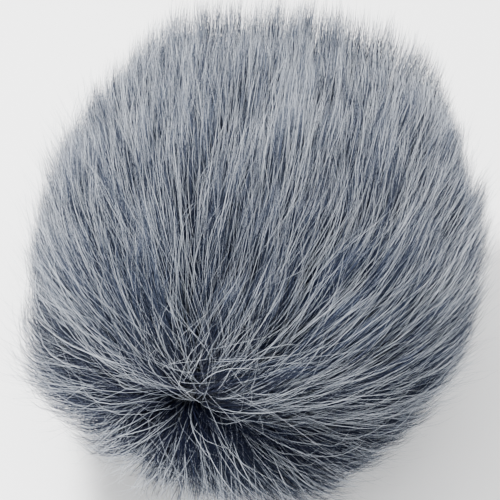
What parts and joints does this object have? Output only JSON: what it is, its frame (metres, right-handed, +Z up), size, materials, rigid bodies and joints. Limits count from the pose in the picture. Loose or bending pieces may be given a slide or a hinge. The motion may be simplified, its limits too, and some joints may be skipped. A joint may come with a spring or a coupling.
{
  "type": "furry windscreen",
  "caption": "Slip-on long-pile fur wind muff for a hand-held recorder, foam lined, with a crown seam and an elastic drawcord cuff held by a spring cord lock.",
  "frame": {"origin": "centre of the pressed-flat pile under the belly, where the muff rests", "axes": "+Z up, +Y out of the mouth along the muff's axis, closed crown towards -Y, +X to the right seen from the crown"},
  "size_m": [0.1274, 0.1678, 0.1068],
  "materials": {
    "fur": "long combed faux-fur pile, slate blue-grey with paler tips",
    "foam": "open-cell acoustic foam",
    "lining": "knitted acoustic mesh",
    "tape": "woven binding tape",
    "neoprene": "neoprene faced with jersey, matt",
    "thread": "polyester sewing thread",
    "elastic_cord": "braided elastic cord",
    "eyelet_metal": "nickel plated",
    "lock_plastic": "moulded nylon, fine matt texture",
    "spring_steel": "bright spring wire"
  },
  "bodies": {
    "muff": {"fur_panel_upper": "fur", "fur_panel_lower": "fur", "foam_panel_upper": "foam", "foam_panel_lower": "foam", "lining_panel_upper": "lining", "lining_panel_lower": "lining", "crown_seam_tape": "tape", "mouth_binding": "tape", "cuff": "neoprene", "cuff_stitching_front": "thread", "cuff_stitching_rear": "thread", "drawcord": "elastic_cord", "eyelet": "eyelet_metal", "cord_end": "lock_plastic"},
    "cord_lock": {"cord_lock_body": "lock_plastic", "cord_lock_spring": "spring_steel"},
    "plunger": {"cord_lock_plunger": "lock_plastic"}
  },
  "joints": [
    {"name": "lock_slide", "type": "slide", "parent": "muff", "child": "cord_lock", "axis": [0, 1, 0], "range_m": [0, 0.008]},
    {"name": "plunger_press", "type": "slide", "parent": "cord_lock", "child": "plunger", "axis": [-1, 0, 0], "range_m": [0, 0.0025], "stiffness_N_per_m": 400, "springref_m": -0.002, "deforming": ["cord_lock_spring"]}
  ]
}
